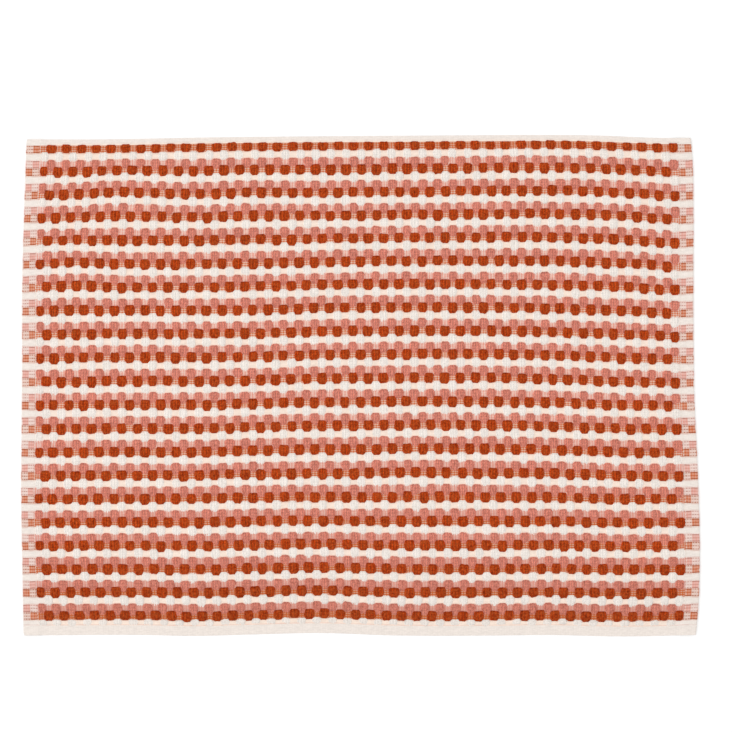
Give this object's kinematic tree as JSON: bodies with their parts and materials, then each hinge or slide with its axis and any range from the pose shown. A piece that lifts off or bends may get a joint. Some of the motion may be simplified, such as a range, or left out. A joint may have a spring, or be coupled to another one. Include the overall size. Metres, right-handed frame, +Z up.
{
  "type": "tea towel",
  "caption": "Flat rectangular tea towel in checkerboard block terry, with hemmed short ends and flat woven selvedges along the long sides.",
  "frame": {"origin": "middle of the outline's box, on the surface that the towel lies on", "axes": "+X along the long side, +Y across the width, away from the wider selvedge, +Z up out of the surface"},
  "size_m": [0.693, 0.512, 0.0043],
  "materials": {
    "cotton_terry": "matt cotton block terry with rust, pink and cream rows on a cream ground"
  },
  "bodies": {
    "root": {"towel": "cotton_terry"}
  },
  "joints": []
}
